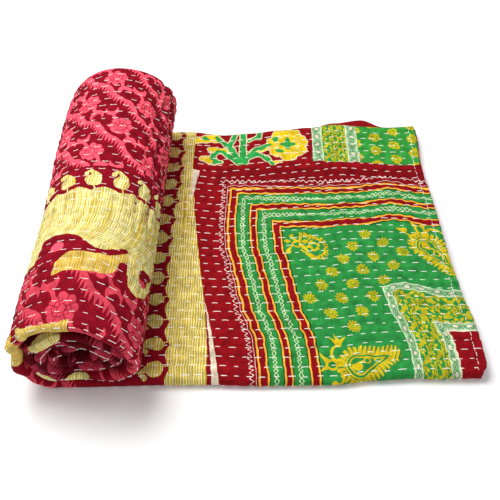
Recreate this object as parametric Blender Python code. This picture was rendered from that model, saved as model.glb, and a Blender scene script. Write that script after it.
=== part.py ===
"""A patchwork kantha throw: folded in three, then doubled into six layers, and wound from one end into a roll."""

import math

import bpy

# Driving dimensions, in metres.
FOLDED_WIDTH = 0.380      # the throw's 2.28 m, folded in three and doubled
CLOTH = 0.0017            # thickness of the quilted cloth
SLIT = 0.00035            # air between two layers
GAP = 0.0003              # clearance where the flat end meets the roll
ROLL_RADIUS = 0.0670      # from the roll's middle to its outer face at the foot, where the flat end leaves it
CORE_RADIUS = 0.0120      # outer radius of the innermost turn's end
AXIS_DRIFT = 0.0124       # how far the roll swings towards the hem, front to back
HEM_FRONT = 0.3914        # from the roll's foot to the hem, along the front edge
HEM_BACK = 0.3702         # the same along the back edge
REST_SPOT = 0.0008        # how far the roll's foot is pressed flat
ROW_RELIEF = 0.0008       # how far the cloth swells between two rows of quilting
ROLL_FRONT = -0.0015      # the roll's front folds, against the flat end's front line

ROWS = 32                 # rows of quilting across the folded width

# Heights of the six layers' middles above the floor, bottom to top.
LAYER_PITCH = CLOTH + SLIT
LAYERS = [CLOTH / 2 + LAYER_PITCH * level for level in range(6)]
STACK = LAYERS[5] + CLOTH / 2
TURN_PITCH = STACK + SLIT
TOP_LAYER = 6

# How far the widest folds reach past their middles: the front one, and the upper and lower ones at the back.
FRONT_FOLD_REACH = STACK / 2
TOP_FOLD_REACH = LAYER_PITCH / 2 + CLOTH / 2
LOW_FOLD_REACH = LAYER_PITCH + CLOTH / 2

# Mesh steps.
STEPS_PER_TURN = 40
FLAP_STATIONS = 20
ROW_STEPS = 2 * ROWS
PLAIN_STEPS = 4

# The folded cloth's way through the stack, from one hem to the other. layer: counted from the floor;
# heads: the side this layer runs to; then: the layer it folds into there; steps: mesh steps round that fold.
FOLDING = [
    {"layer": 4, "heads": "front", "then": 3, "steps": 2},
    {"layer": 3, "heads": "back", "then": 1, "steps": 4},
    {"layer": 1, "heads": "front", "then": 6, "steps": 8},
    {"layer": 6, "heads": "back", "then": 5, "steps": 4},
    {"layer": 5, "heads": "front", "then": 2, "steps": 5},
    {"layer": 2, "heads": "back", "then": None, "steps": 0},
]

# How the flat end's edges wander. place: share of the way from the roll's foot to the hem; front: the front
# folds' shift; top_back: the upper three layers' shift at the back; low_back: the lower three layers' shift.
FLAP_EDGES = [
    {"place": 0.00, "front": 0.0020, "top_back": -0.0125, "low_back": -0.0125},
    {"place": 0.20, "front": 0.0022, "top_back": -0.0125, "low_back": -0.0060},
    {"place": 0.32, "front": 0.0011, "top_back": -0.0192, "low_back": -0.0120},
    {"place": 0.41, "front": 0.0000, "top_back": -0.0165, "low_back": -0.0100},
    {"place": 0.52, "front": 0.0005, "top_back": -0.0108, "low_back": -0.0050},
    {"place": 0.62, "front": 0.0012, "top_back": -0.0055, "low_back": 0.0010},
    {"place": 0.72, "front": 0.0070, "top_back": 0.0010, "low_back": 0.0125},
    {"place": 0.82, "front": 0.0100, "top_back": -0.0030, "low_back": 0.0185},
    {"place": 0.90, "front": 0.0095, "top_back": -0.0050, "low_back": 0.0040},
    {"place": 1.00, "front": 0.0150, "top_back": -0.0030, "low_back": -0.0030},
]

# How the hem wanders. place: share of the way from front to back; out: shift away from the roll.
HEM_LINE = [
    {"place": 0.00, "out": 0.0000},
    {"place": 0.07, "out": 0.0042},
    {"place": 0.17, "out": 0.0062},
    {"place": 0.30, "out": 0.0008},
    {"place": 0.45, "out": -0.0034},
    {"place": 0.62, "out": -0.0034},
    {"place": 0.81, "out": -0.0061},
    {"place": 0.93, "out": 0.0000},
    {"place": 1.00, "out": 0.0000},
]

# How far each layer stands past the hem line, bottom layer first; at the front corner and at the back one.
HEM_STEPS = [
    {"layer": 1, "front": -0.0040, "back": -0.0030},
    {"layer": 2, "front": -0.0020, "back": 0.0010},
    {"layer": 3, "front": -0.0045, "back": 0.0030},
    {"layer": 4, "front": -0.0030, "back": 0.0035},
    {"layer": 5, "front": -0.0025, "back": -0.0010},
    {"layer": 6, "front": 0.0000, "back": 0.0000},
]

# Where the wound stack's edges lie. turn: turns wound since the roll's foot; front: its front folds behind
# the roll's front line; back: its back folds short of the folded width.
WOUND_EDGES = [
    {"turn": 0.00, "front": 0.0035, "back": 0.0125},
    {"turn": 0.25, "front": 0.0000, "back": 0.0200},
    {"turn": 0.50, "front": 0.0020, "back": 0.0240},
    {"turn": 0.70, "front": -0.0040, "back": 0.0180},
    {"turn": 1.00, "front": 0.0040, "back": 0.0150},
    {"turn": 1.25, "front": 0.0040, "back": 0.0240},
    {"turn": 1.50, "front": -0.0030, "back": 0.0320},
    {"turn": 2.00, "front": 0.0070, "back": 0.0200},
    {"turn": 2.50, "front": 0.0040, "back": 0.0300},
    {"turn": 3.00, "front": 0.0090, "back": 0.0220},
    {"turn": 3.50, "front": 0.0160, "back": 0.0360},
    {"turn": 4.00, "front": 0.0100, "back": 0.0260},
    {"turn": 5.50, "front": 0.0180, "back": 0.0380},
]

# The rounded ends of one turn: one wide fold in front, two narrow ones behind. across: share of the stack from
# its outer face; front and back: how far behind the folds' edge the surface is there.
TURN_END = [
    {"across": 0.14, "front": 0.0022, "back": 0.0008},
    {"across": 0.50, "front": 0.0000, "back": 0.0020},
    {"across": 0.86, "front": 0.0022, "back": 0.0012},
]
OUTER_ROUNDING = 0.0052   # how far behind its folds the outermost turn's face begins
GROOVE_DEPTH = 0.0100     # the same for the groove between two turns


def along_table(rows, key, place, column):
    """The column's value at a place in a table, eased from row to row."""
    if place <= rows[0][key]:
        return rows[0][column]
    for low, high in zip(rows, rows[1:]):
        if place <= high[key]:
            share = (place - low[key]) / (high[key] - low[key])
            eased = share * share * (3 - 2 * share)
            return low[column] + (high[column] - low[column]) * eased
    return rows[-1][column]


def ramp(value, start, end):
    """0 before start, 1 after end, eased between."""
    share = min(1.0, max(0.0, (value - start) / (end - start)))
    return share * share * (3 - 2 * share)


def foot_x(depth):
    """Where the roll's foot is. depth: share of the way from front to back."""
    return AXIS_DRIFT * depth


def section_stations():
    """The folded cloth's middle line through the stack, with the direction square to the cloth at each place.

    share runs from the front folds' middles to the back ones; reach and height are the place across the stack.
    """
    stations = []
    for row in FOLDING:
        back = row["heads"] == "back"
        steps = ROW_STEPS if row["layer"] == TOP_LAYER else PLAIN_STEPS
        level = LAYERS[row["layer"] - 1]
        for step in range(steps + 1):
            share = step / steps if back else 1 - step / steps
            stations.append({
                "share": share,
                "reach": 0.0,
                "height": level,
                "square": (0.0, 1.0 if back else -1.0),
                "layer": row["layer"],
                "crest": row["layer"] == TOP_LAYER and step % 2 == 1,
            })
        if row["then"] is None:
            continue
        next_level = LAYERS[row["then"] - 1]
        radius = abs(next_level - level) / 2
        side = 1 if back else -1
        rise = 1 if next_level > level else -1
        for step in range(1, row["steps"]):
            turned = math.pi * step / row["steps"]
            stations.append({
                "share": 1.0 if back else 0.0,
                "reach": side * radius * math.sin(turned),
                "height": (level + next_level) / 2 - rise * radius * math.cos(turned),
                "square": (-rise * math.sin(turned), side * math.cos(turned)),
                "layer": row["layer"] + (row["then"] - row["layer"]) * step / row["steps"],
                "crest": False,
            })
    return stations


def hem_x(depth, layer):
    """Where a layer's hem is, past the roll's foot line."""
    straight = HEM_FRONT + (HEM_BACK - HEM_FRONT) * depth
    front = along_table(HEM_STEPS, "layer", layer, "front")
    back = along_table(HEM_STEPS, "layer", layer, "back")
    return straight + along_table(HEM_LINE, "place", depth, "out") + front + (back - front) * depth


def fullness(x, y):
    """How much fuller than flat the stack lies, as a share: gentle swells, fading out at the roll's foot."""
    swell = 0.14 + 0.09 * math.sin(21 * x + 11 * y) + 0.08 * math.sin(33 * y - 15 * x + 1.0)
    return swell * ramp(x, 0.0, 0.09)


def flap_point(station, side, place):
    """A point of the flat end. side: +1 or -1 for the cloth's two faces; place: share from foot to hem."""
    on_top = ramp(station["layer"], 3.0, 4.0)
    low_back = along_table(FLAP_EDGES, "place", place, "low_back") - LOW_FOLD_REACH
    top_back = along_table(FLAP_EDGES, "place", place, "top_back") - TOP_FOLD_REACH
    front = along_table(FLAP_EDGES, "place", place, "front") + FRONT_FOLD_REACH
    back = FOLDED_WIDTH + low_back + (top_back - low_back) * on_top
    offset = side * CLOTH / 2
    y = front + (back - front) * station["share"] + station["reach"] + offset * station["square"][0]
    height = station["height"] + offset * station["square"][1]
    depth = min(1.0, max(0.0, y / FOLDED_WIDTH))
    start = foot_x(depth) + GAP
    hem = hem_x(depth, station["layer"])
    spread = hem_x(depth, TOP_LAYER)
    x = start + (spread - start) * place + (hem - spread) * ramp(place, 0.88, 1.0)
    z = height * (1 + fullness(x, y) * ramp(station["height"], LAYERS[0], LAYERS[2]))
    if station["crest"]:
        z += ROW_RELIEF * ramp(place, 0.02, 0.15)
    return (x, y, z)


def faces_between(first, second):
    """Quads between two rows of vertex numbers."""
    return [(first[i], second[i], second[i + 1], first[i + 1]) for i in range(len(first) - 1)]


def make_object(name, points, faces, colour):
    mesh = bpy.data.meshes.new(name)
    mesh.from_pydata(points, [], faces)
    mesh.validate()
    mesh.shade_smooth()
    mesh.set_sharp_from_angle(angle=math.radians(50))
    material = bpy.data.materials.new(name + "_cotton")
    material.use_nodes = True
    shader = material.node_tree.nodes["Principled BSDF"]
    shader.inputs["Base Color"].default_value = colour
    shader.inputs["Roughness"].default_value = 0.85
    shader.inputs["Metallic"].default_value = 0.0
    mesh.materials.append(material)
    made = bpy.data.objects.new(name, mesh)
    bpy.context.scene.collection.objects.link(made)
    return made


def flat_end():
    """The folded stack from the roll's foot to the hem, one cloth bent back and forth into six layers."""
    stations = section_stations()
    count = len(stations)
    ring = 2 * count
    points = []
    faces = []
    for step in range(FLAP_STATIONS + 1):
        place = step / FLAP_STATIONS
        points += [flap_point(station, 1, place) for station in stations]
        points += [flap_point(station, -1, place) for station in reversed(stations)]
    for step in range(FLAP_STATIONS):
        near = [step * ring + i for i in range(ring)]
        far = [(step + 1) * ring + i for i in range(ring)]
        faces += faces_between(near + near[:1], far + far[:1])
    last = FLAP_STATIONS * ring
    for i in range(count - 1):
        faces.append((i, i + 1, ring - 2 - i, ring - 1 - i))
        faces.append((last + i + 1, last + i, last + ring - 1 - i, last + ring - 2 - i))
    return make_object("quilt_flat_end", points, faces, (0.08, 0.36, 0.09, 1.0))


def roll_point(turn, radius, y):
    """A point of the roll: its foot pressed flat, its crown settled, and the inner turns slumped at the ends."""
    angle = 2 * math.pi * turn
    depth = y / FOLDED_WIDTH
    x = foot_x(depth) - radius * math.sin(angle)
    z = ROLL_RADIUS - radius * math.cos(angle)
    from_end = min(max(0.0, y), max(0.0, FOLDED_WIDTH - y))
    near_end = 1 - ramp(from_end, 0.0, 0.06)
    lift = ramp(z / (2 * ROLL_RADIUS), 0.12, 1.0)
    slump = 0.004 + 0.005 * near_end + 0.014 * near_end * ramp(turn, 0.8, 1.6)
    ripple = 0.0014 * math.sin(3 * angle + 24 * y) * radius / ROLL_RADIUS
    z -= (slump + ripple) * lift
    z -= REST_SPOT * max(0.0, 1 - z / STACK)
    return (x, y, max(0.0, z))


def wound_form():
    """The roll: one solid, stepped in by one stack at its foot, with the turns' folds winding in at each end."""
    total = round((ROLL_RADIUS - CORE_RADIUS) / TURN_PITCH * STEPS_PER_TURN)
    bands = len(TURN_END) + 1
    points = []
    faces = []
    number = {}

    def vertex(key, place):
        if key not in number:
            number[key] = len(points)
            points.append(place)
        return number[key]

    def edge_y(end, turn, behind):
        inset = along_table(WOUND_EDGES, "turn", turn, end) + behind
        return ROLL_FRONT + inset if end == "front" else FOLDED_WIDTH - inset

    def seam_y(end, turn):
        """Where a turn's outer face ends: rounded off on the outermost turn, in a groove on the others."""
        here = edge_y(end, turn, GROOVE_DEPTH)
        if turn < 1.0:
            return edge_y(end, turn, OUTER_ROUNDING + (GROOVE_DEPTH - OUTER_ROUNDING) * ramp(turn, 0.85, 1.0))
        outside = edge_y(end, turn - 1.0, GROOVE_DEPTH)
        return max(here, outside) if end == "front" else min(here, outside)

    def place_of(step, band):
        """Turn, radius and rounding of a band; the last band is the next turn's outer face."""
        if band == bands:
            return (step + STEPS_PER_TURN, 0, (step + STEPS_PER_TURN) / STEPS_PER_TURN, 0.0)
        share = TURN_END[band - 1]["across"] if band else 0.0
        return (step, band, step / STEPS_PER_TURN, share)

    def end_vertex(end, step, band):
        step, band, turn, across = place_of(step, band)
        y = edge_y(end, turn, TURN_END[band - 1][end]) if band else seam_y(end, turn)
        radius = ROLL_RADIUS - TURN_PITCH * (turn + across)
        return vertex((end, step, band), roll_point(turn, radius, y))

    def side_vertex(step, band, station):
        if station == 0:
            return end_vertex("front", step, band)
        if station == ROW_STEPS:
            return end_vertex("back", step, band)
        front = points[end_vertex("front", step, band)][1]
        back = points[end_vertex("back", step, band)][1]
        step, band, turn, across = place_of(step, band)
        y = front + (back - front) * station / ROW_STEPS
        radius = ROLL_RADIUS - TURN_PITCH * (turn + across)
        if band == 0 and station % 2 == 0:
            radius -= ROW_RELIEF * ramp(turn, 0.0, 0.04)
        return vertex((station, step, band), roll_point(turn, radius, y))

    for station in range(ROW_STEPS):
        near = [side_vertex(step, 0, station) for step in range(STEPS_PER_TURN + 1)]
        far = [side_vertex(step, 0, station + 1) for step in range(STEPS_PER_TURN + 1)]
        faces += faces_between(far, near)
        near = [side_vertex(0, band, station) for band in range(bands + 1)]
        far = [side_vertex(0, band, station + 1) for band in range(bands + 1)]
        faces += faces_between(near, far)

    for end in ("front", "back"):
        rows = []
        for step in range(total + 1):
            rows.append([end_vertex(end, step, band) for band in range(bands + 1)])
        for first, second in zip(rows, rows[1:]):
            faces += faces_between(second, first) if end == "front" else faces_between(first, second)
        loop = [rows[step][bands] for step in range(total - STEPS_PER_TURN, total + 1)]
        loop += list(reversed(rows[total][1:bands]))
        turn = total / STEPS_PER_TURN
        core = vertex((end, "core"), roll_point(turn, 0.0, seam_y(end, turn)))
        for first, second in zip(loop, loop[1:] + loop[:1]):
            faces.append((core, second, first) if end == "front" else (core, first, second))
    return make_object("quilt_roll", points, faces, (0.30, 0.012, 0.035, 1.0))


def origin_to_bottom_centre(objects):
    """Moves the model so that the origin is under the middle of its box, on the floor."""
    corners = [vertex.co for made in objects for vertex in made.data.vertices]
    middle_x = (min(c.x for c in corners) + max(c.x for c in corners)) / 2
    middle_y = (min(c.y for c in corners) + max(c.y for c in corners)) / 2
    floor = min(c.z for c in corners)
    for made in objects:
        made.location = (-middle_x, -middle_y, -floor)


def main():
    for old in list(bpy.data.objects):
        bpy.data.objects.remove(old)
    origin_to_bottom_centre([flat_end(), wound_form()])


main()
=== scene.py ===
"""Looks of a patchwork kantha throw, folded and half rolled: its cloth, print, quilting and hem."""

import ast
import math
import operator
import textwrap

import bpy
import numpy as np
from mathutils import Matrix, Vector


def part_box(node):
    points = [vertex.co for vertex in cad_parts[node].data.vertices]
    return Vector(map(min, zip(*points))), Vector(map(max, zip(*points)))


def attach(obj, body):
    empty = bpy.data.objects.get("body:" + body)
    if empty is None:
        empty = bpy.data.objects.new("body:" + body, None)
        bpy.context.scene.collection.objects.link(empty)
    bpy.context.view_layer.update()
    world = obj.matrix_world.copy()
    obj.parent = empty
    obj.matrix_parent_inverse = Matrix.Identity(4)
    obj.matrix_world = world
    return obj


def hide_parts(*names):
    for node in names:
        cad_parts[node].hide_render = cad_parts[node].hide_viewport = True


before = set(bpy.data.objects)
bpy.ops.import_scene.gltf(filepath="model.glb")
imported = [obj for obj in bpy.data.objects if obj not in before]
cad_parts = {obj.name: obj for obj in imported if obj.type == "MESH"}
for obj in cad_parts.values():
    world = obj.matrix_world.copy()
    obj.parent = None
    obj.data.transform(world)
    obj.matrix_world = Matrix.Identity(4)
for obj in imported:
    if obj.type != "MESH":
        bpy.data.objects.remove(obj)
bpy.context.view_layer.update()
FLAT_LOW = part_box("quilt_flat_end")[0]

MM_IN_METRE = 1000.0

# Sizes of the throw as it is folded, in metres.
FOLDED_WIDTH = 0.380
CLOTH = 0.0017
SLIT = 0.00035
GAP = 0.0003
ROLL_RADIUS = 0.0670
AXIS_DRIFT = 0.0124
HEM_FRONT = 0.3914
HEM_BACK = 0.3702
REST_SPOT = 0.0008
HEM_START = 0.978
HEM_RISE = 0.0008
ROW_RELIEF = 0.0013
FLAT_RELIEF = 0.0020
ROLL_FRONT = -0.0015
ROWS = 32
STITCH_PITCH = 0.0135
WOUND_TURNS = 4.1

LAYER_PITCH = CLOTH + SLIT
LAYERS = [CLOTH / 2 + LAYER_PITCH * level for level in range(6)]
STACK = LAYERS[5] + CLOTH / 2
TURN_PITCH = STACK + SLIT
TOP_LAYER = 6
UNDER_LAYER = 1
ROW_PITCH = FOLDED_WIDTH / ROWS
FRONT_FOLD_REACH = STACK / 2
TOP_FOLD_REACH = LAYER_PITCH / 2 + CLOTH / 2
LOW_FOLD_REACH = LAYER_PITCH + CLOTH / 2

# The roll's foot at the front folds' line, in the row frame: every place below is measured from it.
FOOT = np.array([FLAT_LOW[0] - GAP, FLAT_LOW[1], 0.0])

# Mesh steps.
FINE_STEPS = 5 * ROWS
PLAIN_STEPS = 12
FLAT_STEPS = 156
TURN_STEPS = 156
INNER_STEPS = 46
HEM_MESH_STEPS = 6

# The folded cloth's way through the stack, as the solids have it: a layer, the side it heads for, the layer
# that it turns into there, and the steps of that fold.
FOLDING = [
    (4, "front", 3, 4),
    (3, "back", 1, 8),
    (1, "front", 6, 14),
    (6, "back", 5, 6),
    (5, "front", 2, 8),
    (2, "back", None, 0),
]

# Edges of the folds along the loose end: the share of the way to the hem, how far the front folds stand in,
# and how far the back folds of the upper and of the lower layers stand out.
FLAP_EDGES = [
    (0.00, -0.0008, -0.0125, -0.0125),
    (0.20, 0.0009, -0.0125, -0.0060),
    (0.32, 0.0011, -0.0192, -0.0120),
    (0.41, 0.0000, -0.0165, -0.0100),
    (0.52, 0.0005, -0.0108, -0.0050),
    (0.62, 0.0012, -0.0055, 0.0010),
    (0.72, 0.0060, 0.0010, 0.0125),
    (0.82, 0.0082, -0.0030, 0.0185),
    (0.90, 0.0078, -0.0050, 0.0040),
    (1.00, 0.0085, -0.0030, -0.0030),
]
# The hem's line: the share of the way to the back, and how far it stands out.
HEM_LINE = [
    (0.00, 0.0012),
    (0.07, 0.0048),
    (0.17, 0.0050),
    (0.30, -0.0004),
    (0.45, -0.0034),
    (0.62, -0.0034),
    (0.81, -0.0061),
    (0.93, -0.0024),
    (1.00, -0.0020),
]
# How far each layer's hem stands out from that line, at the front and at the back.
HEM_STEPS = [
    (1, -0.0040, -0.0030),
    (2, -0.0020, 0.0010),
    (3, -0.0045, 0.0030),
    (4, -0.0030, 0.0035),
    (5, -0.0025, -0.0010),
    (6, 0.0000, 0.0000),
]
# Edges of the wound folds: turns from the foot, and how far the front and the back folds stand in.
WOUND_EDGES = [
    (0.00, 0.0007, 0.0125),
    (0.15, -0.0020, 0.0170),
    (0.25, -0.0010, 0.0200),
    (0.38, 0.0005, 0.0220),
    (0.50, -0.0040, 0.0240),
    (0.62, -0.0105, 0.0200),
    (0.75, -0.0125, 0.0170),
    (0.88, -0.0050, 0.0150),
    (1.00, 0.0020, 0.0150),
    (1.12, -0.0010, 0.0190),
    (1.25, 0.0035, 0.0240),
    (1.38, -0.0035, 0.0280),
    (1.50, -0.0015, 0.0320),
    (1.62, -0.0060, 0.0300),
    (1.75, -0.0010, 0.0290),
    (2.00, 0.0040, 0.0240),
    (2.20, -0.0030, 0.0300),
    (2.40, 0.0035, 0.0330),
    (2.60, -0.0040, 0.0340),
    (3.00, 0.0050, 0.0300),
    (3.30, -0.0020, 0.0360),
    (3.60, 0.0060, 0.0380),
    (4.00, -0.0010, 0.0340),
    (5.50, 0.0060, 0.0400),
]
# How far the roll leans out to its outer side: distance from the front, and the lean.
LEAN = [
    (0.00, 0.0048),
    (0.05, 0.0046),
    (0.10, 0.0025),
    (0.15, 0.0013),
    (0.20, 0.0026),
    (0.25, 0.0055),
    (0.31, 0.0064),
    (0.38, 0.0040),
]
# Lengthwise creases down the roll's inner flank: the turn each runs at in front and behind, and its depth.
CREASES = [
    (0.690, 0.655, 0.0032),
    (0.735, 0.700, 0.0026),
    (0.610, 0.640, 0.0016),
    (0.780, 0.760, 0.0020),
]
# Their width and their sway in turns, how fast and how far apart they sway, where on the way to the back they
# come in, and how many layers they reach through.
CREASE_WIDTH = 0.0085
CREASE_SWAY = 0.006
CREASE_SWAY_RATE = 31
CREASE_APART = 90
CREASE_FADE = (0.18, 0.42)
CREASED_LAYERS = 2

# Swell of the stack as a share of its height, and the distance from the foot in which it grows.
FULLNESS = 0.14
FULL_BY = 0.09
# Waves of the cloth, for the function waves: height, rate along each of two directions, and start.
FULL_WAVES = [(0.09, 21, 11, 0.0), (0.08, -15, 33, 1.0)]
PACE_WAVES = [(0.3, 9, 1, 0.0), (0.12, 47, 3, 0.0)]

# Where each row's first stitch falls: numbers that scatter it.
SCATTER_RATE = 12.9898
SCATTER_START = 4.0
SCATTER_REACH = 43.7

# The cloth between the rows of quilting: how steeply it rises, and the shares of its unevenness. A crumple is
# its rates along the rows and across them, how far it is bent, and the rates of the bend.
PUFF_CROWN = 2.2
PUFF_GATHER = 0.42
PUFF_CRUMPLE = 0.22
PUFF_FINE = 0.16
CRUMPLE = (97, 151, 3, 23, 41)
FINE_ALONG = (410, 0, 7, 31, 67)
FINE_ACROSS = (0, 230, 5, 53, 0)

# Where, as shares of the loose end's way, its puff grows, its layers' hems part, and the turned hem rises.
PUFF_START = (0.02, 0.15)
HEM_PARTING = 0.88
HEM_STEP = 0.003

# Gathers at the front of the roll's outer turn: how close they stand, the turns where they come and go, how
# far back they reach, and how far they move the cloth.
GATHER_RATE = 72
GATHER_IN = (0.12, 0.20)
GATHER_OUT = (0.46, 0.54)
GATHER_REACH = 0.022
GATHER_ASIDE = 0.0016
GATHER_RELIEF = 0.0020

# How the roll sinks under its own weight: towards its ends and its front, and more in its inner turns.
END_REACH = 0.06
FRONT_REACH = 0.07
INNER_TURNS = (0.85, 1.25)
OUTER_SINKING = (0.12, 1.0)
INNER_SINKING = (0.30, 0.72)
SLUMP = 0.004
SLUMP_AT_ENDS = 0.005
SLUMP_AT_FRONT = 0.0035
SLUMP_OF_LIPS = 0.0065
RIPPLE = 0.0014
RIPPLES = 3
RIPPLE_RATE = 24
LIP_RIPPLE = 0.0016
LIP_RIPPLES = 5
LIP_RIPPLE_RATE = 2.2
# Over how much of a layer's number, and over which first turns, the quilting's puff fades.
NEXT_TO_LAYER = 0.3
FOOT_TURN = 0.05
# How the lower half of the roll's front spreads on the floor.
SPREAD_DOWN = 0.0100
SPREAD_SHARE = 0.85
SPREAD_OUT = 0.0035


def ramp(value, start, end):
    """0 before start, 1 after end, eased between."""
    share = np.clip((value - start) / (end - start), 0, 1)
    return share * share * (3 - 2 * share)


def along_table(table, places):
    """The table's other columns at places in its first one, eased from row to row."""
    keys, *columns = np.array(table).T
    low = np.clip(np.searchsorted(keys, places) - 1, 0, len(keys) - 2)
    share = ramp(places, keys[low], keys[low + 1])
    found = [column[low] + (column[low + 1] - column[low]) * share for column in columns]
    return found if len(found) > 1 else found[0]


def waves(rows, along, across):
    """A sum of waves that run along two directions."""
    return sum(height * np.sin(a * along + b * across + start) for height, a, b, start in rows)


def foot_x(depth):
    return AXIS_DRIFT * depth


def upper_share(layer):
    """0 on the stack's three lower layers, 1 on its upper ones."""
    return ramp(layer, 3, 4)


def section_stations(fine_layer):
    """The folded cloth's middle line as arrays. fine_layer: the one that gets the fine steps, or None.

    way is the distance along the cloth from the middle of the front fold, negative on the under side.
    """
    rows = []
    way = 0.0
    for layer, heads, then, fold_steps in FOLDING:
        side = 1 if heads == "back" else -1
        fold_share = 1.0 if heads == "back" else 0.0
        steps = FINE_STEPS if layer == fine_layer else PLAIN_STEPS
        level = LAYERS[layer - 1]
        for step in range(steps + 1):
            gone = step / steps
            if layer != fine_layer:
                gone = (1 - math.cos(math.pi * gone)) / 2
            share = gone if heads == "back" else 1 - gone
            rows.append((share, 0.0, level, 0.0, side, layer, way + FOLDED_WIDTH * gone))
        way += FOLDED_WIDTH
        if then is None:
            continue
        next_level = LAYERS[then - 1]
        radius = abs(next_level - level) / 2
        rise = 1 if next_level > level else -1
        for step in range(1, fold_steps):
            turned = math.pi * step / fold_steps
            rows.append((
                fold_share,
                side * radius * math.sin(turned),
                (level + next_level) / 2 - rise * radius * math.cos(turned),
                -rise * math.sin(turned),
                side * math.cos(turned),
                layer + (then - layer) * step / fold_steps,
                way + radius * turned,
            ))
        way += radius * math.pi
        if layer == UNDER_LAYER:
            front_fold = way - radius * math.pi / 2
    columns = np.array(rows).T
    names = ("share", "reach", "height", "square_y", "square_z", "layer", "way")
    stations = dict(zip(names, columns))
    stations["way"] = stations["way"] - front_fold
    return stations


def hem_x(depth, layer):
    straight = HEM_FRONT + (HEM_BACK - HEM_FRONT) * depth
    front, back = along_table(HEM_STEPS, layer)
    return straight + along_table(HEM_LINE, depth) + front + (back - front) * depth


def fullness(x, y):
    """How much fuller than flat the stack lies, as a share: the solids' gentle swells."""
    return (FULLNESS + waves(FULL_WAVES, x, y)) * ramp(x, 0.0, FULL_BY)


def stitch_count(along, row):
    """How many stitches have gone by at a distance along a quilting row: the hand's pace wavers."""
    first = np.mod(np.sin(row * SCATTER_RATE + SCATTER_START) * SCATTER_REACH, 1.0)
    return along / STITCH_PITCH + first + waves(PACE_WAVES, along, row)


def crumpled(along, share, rate, rate_across, bend, bend_rate, bend_across):
    """A wave that runs along and across the rows, bent by a slower one."""
    bent = bend * np.sin(bend_rate * along + bend_across * share)
    return np.sin(rate * along + rate_across * share + bent)


def quilting(along, share):
    """Height of the puffed cloth: low along each row of quilting, and gathered between its stitches."""
    row = share * ROWS
    near = np.abs(row - np.round(row)) * 2
    swell = ROW_RELIEF * (1 - (1 - near) ** PUFF_CROWN)
    gather = np.cos(2 * math.pi * stitch_count(along, np.floor(row)))
    crumple = crumpled(along, share, *CRUMPLE)
    fine = crumpled(along, share, *FINE_ALONG) * crumpled(along, share, *FINE_ACROSS)
    return swell * (1 - PUFF_GATHER * gather + PUFF_CRUMPLE * crumple + PUFF_FINE * fine)


def printed_y(stations, face, front, back):
    """Distance across the cloth as its print lies: level on one layer, and on round the folds from there."""
    way = stations["way"]
    on_face = way[stations["layer"] == face]
    there = np.clip(way, on_face.min(), on_face.max())
    share = (there - on_face.min()) / FOLDED_WIDTH
    if face == TOP_LAYER:
        return front + (back - front) * share + way - there
    return back + (front - back) * share - way + there


def flat_place(stations, offset, place):
    """Points of the flat end, and the print's place there.

    offset: from the cloth's middle line to its surface; place: share of the way from the foot to the hem.
    """
    layer = stations["layer"]
    front, top_back, low_back = along_table(FLAP_EDGES, place)
    front = front + FRONT_FOLD_REACH
    top_back = top_back - TOP_FOLD_REACH
    low_back = low_back - LOW_FOLD_REACH
    back = FOLDED_WIDTH + low_back + (top_back - low_back) * upper_share(layer)
    y = front + (back - front) * stations["share"] + stations["reach"] + offset * stations["square_y"]
    depth = np.clip(y / FOLDED_WIDTH, 0, 1)
    start = foot_x(depth)
    spread = hem_x(depth, np.full_like(layer, TOP_LAYER))
    x = start + (spread - start) * place + (hem_x(depth, layer) - spread) * ramp(place, HEM_PARTING, 1.0)
    lift = 1 + fullness(x, y) * ramp(stations["height"], LAYERS[0], LAYERS[2])
    z = stations["height"] * lift + offset * stations["square_z"]
    top = ramp(layer, TOP_LAYER - NEXT_TO_LAYER, TOP_LAYER)
    puff = quilting(x, stations["share"]) * FLAT_RELIEF / ROW_RELIEF
    z = z + puff * top * ramp(place, *PUFF_START)
    z = z + HEM_RISE * top * ramp(place, HEM_START, HEM_START + HEM_STEP)
    across = printed_y(stations, TOP_LAYER, front, FOLDED_WIDTH + top_back)
    return np.stack([x, y, z], axis=-1), np.stack([x, across], axis=-1)


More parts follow.
